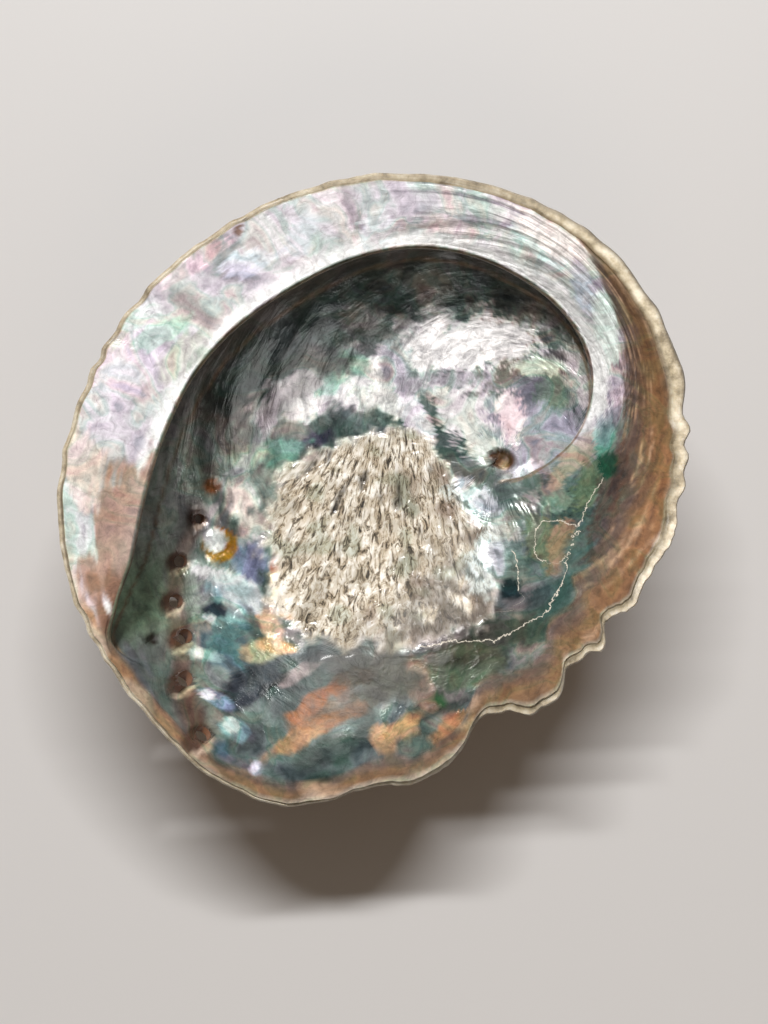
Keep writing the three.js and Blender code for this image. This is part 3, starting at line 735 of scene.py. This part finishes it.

# Breathing holes have brown walls and a painted highlight on the lower right of each rim, the blister an amber ring.
tint = paint(tint, "#5b4335", 0.8 * on_floor * (1 - ease(np.abs(hole_line + 0.8), 1.0, 4.2)) * ease(plan_direction % 360, 186, 190) * (1 - ease(plan_direction % 360, 222, 226)))
tint = paint(tint, "#9c5f3c", on_floor * (1 - ease(np.hypot(x + 43.2, y - 2.9), 1.6, 2.8)))
tint = paint(tint, "#9a6c1c", on_floor * (1 - ease(np.hypot(x + 41.2, y + 13.4) + 0.8 * ragged, 4.4, 5.2)))
tint = paint(tint, "#e9ecea", on_floor * (1 - ease(np.hypot(x + 42.4, y + 11.9) + 1.2 * ragged, 2.8, 3.5)))
for hole_direction, hole_radius, bore in HOLES:
    hole_x, hole_y = plan_place(hole_direction, hole_radius)
    past_rim = np.hypot(x - hole_x, y - hole_y) - bore
    lower_right = np.cos(np.arctan2(y - hole_y, x - hole_x) + 1.0)
    tint = paint(tint, "#4d3629", on_floor * (1 - ease(past_rim, 0.4, 1.8)))
    # A painted highlight on the lower right of each hole's rim.
    tint = paint(tint, "#cdb89f", 0.8 * on_floor * (1 - ease(np.abs(past_rim - 1.0), 0.3, 0.9)) * ease(lower_right, 0.3, 0.8))
tint = paint(tint, "#20180f", on_floor * (1 - ease(np.hypot(x + 57.1, y + 37.9), 1.2, 2.0)))
tint = paint(tint, "#dcd6ee", on_floor * (1 - ease(np.hypot(x + 29.3, y + 71), 0.8, 1.8)))
tint = paint(tint, "#4a3322", inside * (1 - ease(from_pit, 2.4, 3.7)))
# A painted glint of golden light inside the spire's pit.
tint = paint(tint, "#8a6a45", 0.8 * inside * (1 - ease(np.hypot(x - 37.3, y - 8.6), 0.4, 2.0)))
dull = np.maximum(0.85 * patch_cover(-8, -53, 26, 15, 10, ragged), 0.8 * patch_cover(-62, -28, 13, 26, 170, ragged))
left_ledge = on_top * ease(x, 50, 10)
shine = np.clip(1 - 0.5 * scar - 0.6 * band - dull - 0.6 * in_shadow - 0.35 * left_ledge - 0.5 * worn, 0, 1)
# Pale cracks run through the nacre right of the scar: the middle that each one bends round, and its reach
# from there by direction. The distance to the nearest crack changes sign across each, and is far at their ends.
CRACKS = [
    (22, -5, [
        (-105, 37), (-88, 34), (-72, 35), (-59, 35), (-44, 35), (-30, 33.5), (-20, 32), (-7, 33), (5, 36), (14, 41),
    ]),
    (48.5, -12.5, [(20, 8.1), (50, 7.0), (90, 5.8), (120, 5.5), (180, 3.3), (233, 5.2), (263, 5.5)]),
    (34, -22, [(-35, 7.5), (0, 6), (30, 6.5), (58, 9)]),
]
NO_CRACK = 2000
crack_line = np.full(x.shape, float(NO_CRACK))
for middle_x, middle_y, course in CRACKS:
    course_at, course_reach = np.array(course).T
    turn = np.degrees(np.arctan2(y - middle_y, x - middle_x))
    turn = (turn - course_at[0]) % 360 + course_at[0]
    past = np.hypot(x - middle_x, y - middle_y) - np.interp(turn, course_at, course_reach)
    past = np.where(inside * (turn < course_at[-1]) > 0, past, np.copysign(NO_CRACK, past))
    crack_line = np.sign(crack_line * past) * np.minimum(np.abs(crack_line), np.abs(past))


def shell_mesh(name, grid, floor_pole, back_pole):
    """One closed mesh: the grid's sections joined all the way round, and a fan of faces at either pole."""
    count, ring = grid.shape[:2]
    k, i = np.meshgrid(np.arange(count), np.arange(ring - 1), indexing="ij")
    here = k * ring + i
    there = (k + 1) % count * ring + i
    quads = np.stack([here, here + 1, there + 1, there], -1).reshape(-1, 4)
    k = np.arange(count)
    here = k * ring
    there = (k + 1) % count * ring
    floor_fan = np.stack([np.full(count, count * ring), here, there], -1)
    back_fan = np.stack([np.full(count, count * ring + 1), there + ring - 1, here + ring - 1], -1)
    corners = np.concatenate([grid.reshape(-1, 3), [floor_pole, back_pole]])
    mesh = bpy.data.meshes.new(name)
    mesh.from_pydata(corners.tolist(), [], quads.tolist() + floor_fan.tolist() + back_fan.tolist())
    return mesh


def bores(name, places, towards, radii, length, material):
    """Round cutters, one for each breathing hole, made by one tree that puts a cylinder at each point."""
    mesh = bpy.data.meshes.new(name)
    mesh.from_pydata(places, [], [])
    directions = mesh.attributes.new("towards", "FLOAT_VECTOR", "POINT")
    directions.data.foreach_set("vector", np.array(towards, np.float32).ravel())
    sizes = mesh.attributes.new("bore", "FLOAT", "POINT")
    sizes.data.foreach_set("value", np.array(radii, np.float32))
    cutter = bpy.data.objects.new(name, mesh)
    bpy.context.collection.objects.link(cutter)
    tree = bpy.data.node_groups.new(name, "GeometryNodeTree")
    tree.interface.new_socket("Geometry", in_out="INPUT", socket_type="NodeSocketGeometry")
    length_input = tree.interface.new_socket("Length", in_out="INPUT", socket_type="NodeSocketFloat")
    sides_input = tree.interface.new_socket("Sides", in_out="INPUT", socket_type="NodeSocketInt")
    tree.interface.new_socket("Geometry", in_out="OUTPUT", socket_type="NodeSocketGeometry")
    into = add_node(tree, "NodeGroupInput")
    tube = add_node(tree, "GeometryNodeMeshCylinder", {"Vertices": (into, "Sides"), "Radius": 1.0, "Depth": (into, "Length")})
    way = add_node(tree, "GeometryNodeInputNamedAttribute", {"Name": "towards"}, data_type="FLOAT_VECTOR")
    turned = add_node(tree, "FunctionNodeAlignRotationToVector", {"Vector": (way, "Attribute")}, axis="Z")
    bore = add_node(tree, "GeometryNodeInputNamedAttribute", {"Name": "bore"}, data_type="FLOAT")
    scale = add_node(tree, "ShaderNodeCombineXYZ", {"X": (bore, "Attribute"), "Y": (bore, "Attribute"), "Z": 1.0})
    placed = add_node(
        tree,
        "GeometryNodeInstanceOnPoints",
        {"Points": (into, "Geometry"), "Instance": (tube, "Mesh"), "Rotation": (turned, "Rotation"), "Scale": (scale, "Vector")},
    )
    real = add_node(tree, "GeometryNodeRealizeInstances", {"Geometry": (placed, "Instances")})
    walled = add_node(tree, "GeometryNodeSetMaterial", {"Geometry": (real, "Geometry"), "Material": material})
    add_node(tree, "NodeGroupOutput", {"Geometry": (walled, "Geometry")})
    modifier = cutter.modifiers.new(name, "NODES")
    modifier.node_group = tree
    modifier[length_input.identifier] = length
    modifier[sides_input.identifier] = 28
    return cutter


def add_node(tree, kind, inputs=None, **settings):
    """Adds a node with its settings; an input is a value, or another node and the name of its output."""
    node = tree.nodes.new(kind)
    for key, value in settings.items():
        setattr(node, key, value)
    for key, value in (inputs or {}).items():
        socket = node.inputs[key]
        if isinstance(value, tuple) and isinstance(value[0], bpy.types.Node):
            tree.links.new(value[0].outputs[value[1]], socket)
        else:
            socket.default_value = value
    return node


floor_pole = floor_points(np.zeros(1), np.zeros(1), lip_radius(np.zeros(1)))[0]
floor_pole[2] -= PIT_DEPTH
back_pole = back_points(np.zeros(1), np.zeros(1))[0][0]
back_pole[2] -= CAP_RISE
mesh = shell_mesh("shell_form", grid, floor_pole, back_pole)
shell = bpy.data.objects.new("abalone_shell", mesh)
bpy.context.collection.objects.link(shell)

def new_material(name):
    """A material with an empty tree but for its shader."""
    material = bpy.data.materials.new(name)
    material.use_nodes = True
    tree = material.node_tree
    return material, tree, tree.nodes["Principled BSDF"]


def ramp_node(tree, factor, stops, **settings):
    ramp = add_node(tree, "ShaderNodeValToRGB", {"Fac": factor})
    elements = ramp.color_ramp.elements
    stops = sorted(stops)
    for place, _ in stops[1:-1]:
        elements.new(place)
    for element, (place, code) in zip(elements, stops):
        element.position = place
        element.color = (*linear(code), 1)
    return ramp


def set_inputs(tree, node, inputs):
    for key, value in inputs.items():
        if isinstance(value, tuple) and isinstance(value[0], bpy.types.Node):
            tree.links.new(value[0].outputs[value[1]], node.inputs[key])
        else:
            node.inputs[key].default_value = value


nacre, tree, shader = new_material("nacre")
place = add_node(tree, "ShaderNodeTexCoord")
tinted = add_node(tree, "ShaderNodeAttribute", attribute_name="tint")
masks = add_node(tree, "ShaderNodeAttribute", attribute_name="masks")
split = add_node(tree, "ShaderNodeSeparateXYZ", {"Vector": (masks, "Vector")})
swirl = add_node(tree, "ShaderNodeTexNoise", {"Vector": (place, "Object"), "Scale": 75.0, "Detail": 3.0, "Roughness": 0.5, "Distortion": 1.5})
play = ramp_node(
    tree,
    (swirl, "Fac"),
    [
        (0.28, "#8a8c9c"),
        (0.38, "#d0c4d2"),
        (0.45, "#e8e6ea"),
        (0.51, "#b0cbc2"),
        (0.57, "#dde0d2"),
        (0.64, "#d6bcb8"),
        (0.74, "#8f8b98"),
    ],
)
vivid = add_node(tree, "ShaderNodeMapRange", {"Value": (split, "Y"), "To Min": 0.2, "To Max": 0.7})
coloured = add_node(
    tree,
    "ShaderNodeMix",
    {"Factor": (vivid, "Result"), "A": (tinted, "Color"), "B": (play, "Color")},
    data_type="RGBA",
    blend_type="OVERLAY",
)
grain = add_node(tree, "ShaderNodeTexNoise", {"Vector": (place, "Object"), "Scale": 420.0, "Detail": 8.0, "Roughness": 0.68, "Distortion": 0.6})
contrast = ramp_node(tree, (grain, "Fac"), [(0.34, "#8e8e90"), (0.61, "#ffffff")])
grained = add_node(
    tree,
    "ShaderNodeMix",
    {"Factor": 0.6, "A": (coloured, "Result"), "B": (contrast, "Color")},
    data_type="RGBA",
    blend_type="MULTIPLY",
)
grown = add_node(tree, "ShaderNodeAttribute", attribute_name="growth")
lines = add_node(tree, "ShaderNodeMapping", {"Vector": (grown, "Vector"), "Scale": (0.07, 0.07, 0.28)})
lumps = add_node(tree, "ShaderNodeTexNoise", {"Vector": (lines, "Vector"), "Scale": 1.0, "Detail": 4.0, "Roughness": 0.55, "Distortion": 0.6})
line_shade = ramp_node(tree, (lumps, "Fac"), [(0.34, "#4d4e55"), (0.46, "#b9b9bb"), (0.58, "#ffffff")])
lined = add_node(
    tree,
    "ShaderNodeMix",
    {"Factor": (tinted, "Alpha"), "A": (grained, "Result"), "B": (line_shade, "Color")},
    data_type="RGBA",
    blend_type="MULTIPLY",
)
fanned = add_node(tree, "ShaderNodeAttribute", attribute_name="fan")
flake = add_node(tree, "ShaderNodeTexNoise", {"Vector": (fanned, "Vector"), "Scale": 0.66, "Detail": 8.0, "Roughness": 0.78, "Distortion": 0.9})
# The scar's flakes: their own silver and tan, with painted highlights on the high parts and painted shade in the low
# ones, where the same noise sets the bump.
flake_tone_and_painted_light = ramp_node(
    tree,
    (flake, "Fac"),
    [(0.36, "#171412"), (0.41, "#5a5248"), (0.455, "#aea394"), (0.5, "#e6dfd2"), (0.55, "#ffffff")],
)
wander = add_node(tree, "ShaderNodeTexNoise", {"Vector": (place, "Object"), "Scale": 80.0, "Detail": 3.0, "Roughness": 0.5, "Distortion": 0.4})
crease = ramp_node(tree, (wander, "Fac"), [(0.488, "#ffffff"), (0.512, "#ffffff"), (0.5, "#b3aca6")])
creased = add_node(
    tree,
    "ShaderNodeMix",
    {"Factor": 0.3, "A": (lined, "Result"), "B": (crease, "Color")},
    data_type="RGBA",
    blend_type="MULTIPLY",
)
jagged = add_node(tree, "ShaderNodeTexNoise", {"Vector": (place, "Object"), "Scale": 230.0, "Detail": 6.0, "Roughness": 0.7})
strayed = add_node(tree, "ShaderNodeMapRange", {"Value": (jagged, "Fac"), "To Min": -2.4, "To Max": 2.4})
off_crack = add_node(tree, "ShaderNodeMath", {0: (strayed, "Result"), 1: (split, "Z")}, operation="ADD")
crack_width = add_node(tree, "ShaderNodeMath", {0: (off_crack, "Value")}, operation="ABSOLUTE")
crack_cover = add_node(
    tree,
    "ShaderNodeMapRange",
    {"Value": (crack_width, "Value"), "From Min": 0.03, "From Max": 0.16, "To Min": 1.0, "To Max": 0.0},
)
cracked = add_node(
    tree,
    "ShaderNodeMix",
    {"Factor": (crack_cover, "Result"), "A": (creased, "Result"), "B": (*linear("#d2cabc"), 1)},
    data_type="RGBA",
)
flaked = add_node(
    tree,
    "ShaderNodeMix",
    {"Factor": (split, "X"), "A": (cracked, "Result"), "B": (tinted, "Color")},
    data_type="RGBA",
)
scarred = add_node(
    tree,
    "ShaderNodeMix",
    {"Factor": (split, "X"), "A": (flaked, "Result"), "B": (flake_tone_and_painted_light, "Color")},
    data_type="RGBA",
    blend_type="MULTIPLY",
)
rough = add_node(tree, "ShaderNodeMapRange", {"Value": (split, "Y"), "To Min": 0.6, "To Max": 0.16})
coated = add_node(tree, "ShaderNodeMapRange", {"Value": (split, "Y"), "To Min": 0.02, "To Max": 0.3})
metal = add_node(tree, "ShaderNodeMapRange", {"Value": (split, "Y"), "To Min": 0.05, "To Max": 0.2})
film = add_node(tree, "ShaderNodeMapRange", {"Value": (swirl, "Fac"), "From Min": 0.3, "From Max": 0.7, "To Min": 260.0, "To Max": 620.0})
height_mix = add_node(tree, "ShaderNodeMix", {"Factor": (split, "X"), "A": (grain, "Fac"), "B": (flake, "Fac")})
line_depth = add_node(tree, "ShaderNodeMapRange", {"Value": (tinted, "Alpha"), "From Max": 0.6, "To Max": 0.0012})
lumped = add_node(tree, "ShaderNodeBump", {"Strength": 0.5, "Distance": (line_depth, "Result"), "Height": (lumps, "Fac")})
relief_scale = add_node(tree, "ShaderNodeMapRange", {"Value": (split, "X"), "To Min": 0.00018, "To Max": 0.0012})
bumped = add_node(
    tree,
    "ShaderNodeBump",
    {"Strength": 0.8, "Distance": (relief_scale, "Result"), "Height": (height_mix, "Result"), "Normal": (lumped, "Normal")},
)
set_inputs(
    tree,
    shader,
    {
        "Base Color": (scarred, "Result"),
        "Metallic": (metal, "Result"),
        "Roughness": (rough, "Result"),
        "Coat Weight": (coated, "Result"),
        "Coat Roughness": 0.12,
        "Thin Film Thickness": (film, "Result"),
        "Thin Film IOR": 1.5,
        "Normal": (bumped, "Normal"),
    },
)

lip_layer, tree, shader = new_material("lip_layer")
place = add_node(tree, "ShaderNodeTexCoord")
tinted = add_node(tree, "ShaderNodeAttribute", attribute_name="tint")
growth = add_node(tree, "ShaderNodeTexNoise", {"Vector": (place, "Object"), "Scale": 210.0, "Detail": 6.0, "Roughness": 0.68})
ivory = ramp_node(tree, (growth, "Fac"), [(0.34, "#9d968a"), (0.48, "#dcd6cc"), (0.62, "#ffffff")])
layered = add_node(
    tree,
    "ShaderNodeMix",
    {"Factor": 1.0, "A": (tinted, "Color"), "B": (ivory, "Color")},
    data_type="RGBA",
    blend_type="MULTIPLY",
)
bumped = add_node(tree, "ShaderNodeBump", {"Strength": 0.7, "Distance": 0.0003, "Height": (growth, "Fac")})
set_inputs(
    tree,
    shader,
    {
        "Base Color": (layered, "Result"),
        "Roughness": 0.4,
        "Subsurface Weight": 0.25,
        "Subsurface Radius": (0.9, 0.7, 0.45),
        "Subsurface Scale": 0.002,
        "Normal": (bumped, "Normal"),
    },
)

outer_layer, tree, shader = new_material("outer_layer")
place = add_node(tree, "ShaderNodeTexCoord")
grown = add_node(tree, "ShaderNodeAttribute", attribute_name="growth")
bands = add_node(tree, "ShaderNodeMapping", {"Vector": (grown, "Vector"), "Scale": (0.03, 0.03, 0.55)})
banded = add_node(tree, "ShaderNodeTexNoise", {"Vector": (bands, "Vector"), "Scale": 1.0, "Detail": 6.0, "Roughness": 0.6, "Distortion": 0.4})
brown = ramp_node(tree, (banded, "Fac"), [(0.3, "#33221d"), (0.72, "#8a8670"), (0.4, "#5e3a2e"), (0.48, "#7d5442"), (0.55, "#5f5a44"), (0.63, "#8c7460")])
crusty = add_node(tree, "ShaderNodeTexNoise", {"Vector": (place, "Object"), "Scale": 60.0, "Detail": 10.0, "Roughness": 0.7})
crust_cover = ramp_node(tree, (crusty, "Fac"), [(0.53, "#000000"), (0.66, "#ffffff")])
chalky = add_node(
    tree,
    "ShaderNodeMix",
    {"Factor": (crust_cover, "Color"), "A": (brown, "Color"), "B": (*linear("#9a9182"), 1)},
    data_type="RGBA",
)
bumped = add_node(tree, "ShaderNodeBump", {"Strength": 0.9, "Distance": 0.0006, "Height": (crusty, "Fac")})
set_inputs(tree, shader, {"Base Color": (chalky, "Result"), "Roughness": 0.75, "Normal": (bumped, "Normal")})

bore_wall, tree, shader = new_material("bore_wall")
set_inputs(tree, shader, {"Base Color": (*linear("#6b4a36"), 1), "Roughness": 0.4})

for material in (nacre, lip_layer, outer_layer, bore_wall):
    mesh.materials.append(material)


def point_attribute(mesh, name, kind, key, values, poles):
    """Writes one value for each point of the sections and for the two poles after them."""
    flat_values = np.concatenate([values.reshape(-1, values.shape[-1]), poles]).astype(np.float32)
    mesh.attributes.new(name, kind, "POINT").data.foreach_set(key, flat_values.ravel())


lined_share = blend(0.6, by_direction(TOP_LINES)(plan_direction), on_top) * (1 - 0.7 * scar) * (1 - 0.5 * band) * ease(plan_radius, 10, 34)
rgba = np.concatenate([tint, lined_share[..., None]], -1)
point_attribute(mesh, "tint", "FLOAT_COLOR", "color", rgba, [[0.05, 0.03, 0.02, 1], [0.2, 0.1, 0.08, 1]])
point_attribute(mesh, "masks", "FLOAT_VECTOR", "vector", np.stack([scar - 0.35 * worn, shine, crack_line], -1), [[0, 1, 9], [0, 0, 9]])
point_attribute(mesh, "fan", "FLOAT_VECTOR", "vector", fan, [[0, 0, 0], [0, 0, 0]])
point_attribute(mesh, "growth", "FLOAT_VECTOR", "vector", flow, [[0, 0, -560], [0, 0, -560]])
ring = grid.shape[1]
layer = np.zeros(ring - 1, int)
layer[first_lip - 1 :] = 1
layer[first_back:] = 2
layers = np.concatenate([np.tile(layer, len(grid)), np.zeros(len(grid), int), np.full(len(grid), 2)])
mesh.polygons.foreach_set("material_index", layers)
mesh.polygons.foreach_set("use_smooth", np.ones(len(layers), bool))

# The breathing holes go straight through the wall, and the spire's pit ends in it.
hole_points, hole_inward = back_points(np.array([h[0] for h in HOLES]), np.array([h[1] for h in HOLES]))
cutter = bores("bores", (hole_points + hole_inward).tolist(), hole_inward, [h[2] for h in HOLES], 16.0, bore_wall)
cut = shell.modifiers.new("bores", "BOOLEAN")
cut.object = cutter
cut.operation = "DIFFERENCE"
cut.solver = "EXACT"
cut.material_mode = "TRANSFER"
mesh = bpy.data.meshes.new_from_object(shell.evaluated_get(bpy.context.evaluated_depsgraph_get()))
shell.modifiers.clear()
shell.data = mesh
bpy.data.objects.remove(cutter)
mesh.set_sharp_from_angle(angle=math.radians(50))
points = np.empty(len(mesh.vertices) * 3)
mesh.vertices.foreach_get("co", points)
points = points.reshape(-1, 3)
colours = np.empty(len(points) * 4, np.float32)
mesh.attributes["tint"].data.foreach_get("color", colours)
colours = colours.reshape(-1, 4)
for middle, way, bore in zip(hole_points, hole_inward, [h[2] for h in HOLES]):
    off_axis = points - middle - ((points - middle) @ way)[:, None] * way
    at_rim = (np.linalg.norm(off_axis, axis=1) < bore + 0.05) & (np.linalg.norm(points - middle, axis=1) < 12)
    colours[at_rim, :3] = linear("#4d3629")
mesh.attributes["tint"].data.foreach_set("color", colours.ravel())

# The shell stands where the solid stands: its box is centred on the solid's, and worn flat where it touches.
points[:, 2] = np.maximum(points[:, 2], points[:, 2].min() + RESTING_WEAR)
low, high = points.min(0), points.max(0)
middle = (cad_low + cad_high) / 2 / MM
shift = np.array([middle[0] - (low[0] + high[0]) / 2, middle[1] - (low[1] + high[1]) / 2, -low[2]])
print("box", high - low, "shift", shift, "faces", len(mesh.polygons), "materials", [m.name for m in mesh.materials])
mesh.vertices.foreach_set("co", ((points + shift) * MM).ravel())
mesh.update()

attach(shell, "root")
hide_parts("shell")

# The table that the shell lies on.
bpy.ops.mesh.primitive_plane_add(size=4)
table = bpy.context.object
table.name = "table"
table_paint, tree, shader = new_material("table_paint")
set_inputs(tree, shader, {"Base Color": (*linear("#d5d3d2"), 1), "Roughness": 0.55})
table.data.materials.append(table_paint)

# The light and the camera.
camera_data = bpy.data.cameras.new("camera")
camera_data.lens = 46.4
camera = bpy.data.objects.new("camera", camera_data)
bpy.context.collection.objects.link(camera)
camera.location = (0.00281, -0.00454, 0.3715)
camera.rotation_euler = (0, 0, 0)
bpy.context.scene.camera = camera

# Long lamps overhead, as wide as a desk: a steep one lights the shell and a lower one the table.
for name, place, length, depth, energy, shade, lit in (
    ("steep_lamp", (-0.25, 0.62, 0.92), 0.3, 0.06, 22, (1.0, 0.985, 0.96), shell),
    ("ceiling", (0.1, -0.5, 1.1), 0.8, 0.8, 5, (1.0, 0.98, 0.95), shell),
    ("low_lamp", (-0.1, 2.0, 1.88), 2.2, 0.12, 102, (1.0, 0.995, 0.985), table),
    ("fill", (0.2, -1.3, 0.9), 0.9, 0.9, 3.4, (1.0, 0.76, 0.55), table),
):
    lamp = bpy.data.lights.new(name, "AREA")
    lamp.shape = "RECTANGLE"
    lamp.size = length
    lamp.size_y = depth
    lamp.energy = energy
    lamp.color = shade
    hung = bpy.data.objects.new(name, lamp)
    hung.location = place
    hung.rotation_euler = (-Vector(place)).to_track_quat("-Z", "Y").to_euler()
    bpy.context.collection.objects.link(hung)
    receivers = bpy.data.collections.new(f"lit_by_{name}")
    receivers.objects.link(lit)
    hung.light_linking.receiver_collection = receivers

room = bpy.data.worlds.new("room")
bpy.context.scene.world = room
bpy.context.scene.view_settings.view_transform = "Standard"
room.use_nodes = True
tree = room.node_tree
seen = add_node(tree, "ShaderNodeTexCoord")
heading = add_node(tree, "ShaderNodeSeparateXYZ", {"Vector": (seen, "Generated")})
side = add_node(tree, "ShaderNodeMapRange", {"Value": (heading, "Y"), "From Min": -0.4, "From Max": 0.9, "To Min": 0.0, "To Max": 1.0})
walls = ramp_node(tree, (side, "Result"), [(0.0, "#8f7f70"), (1.0, "#fff6ea"), (0.3, "#4f463d"), (0.62, "#d8cfc4")])
background = tree.nodes["Background"]
set_inputs(tree, background, {"Color": (walls, "Color"), "Strength": 0.2})
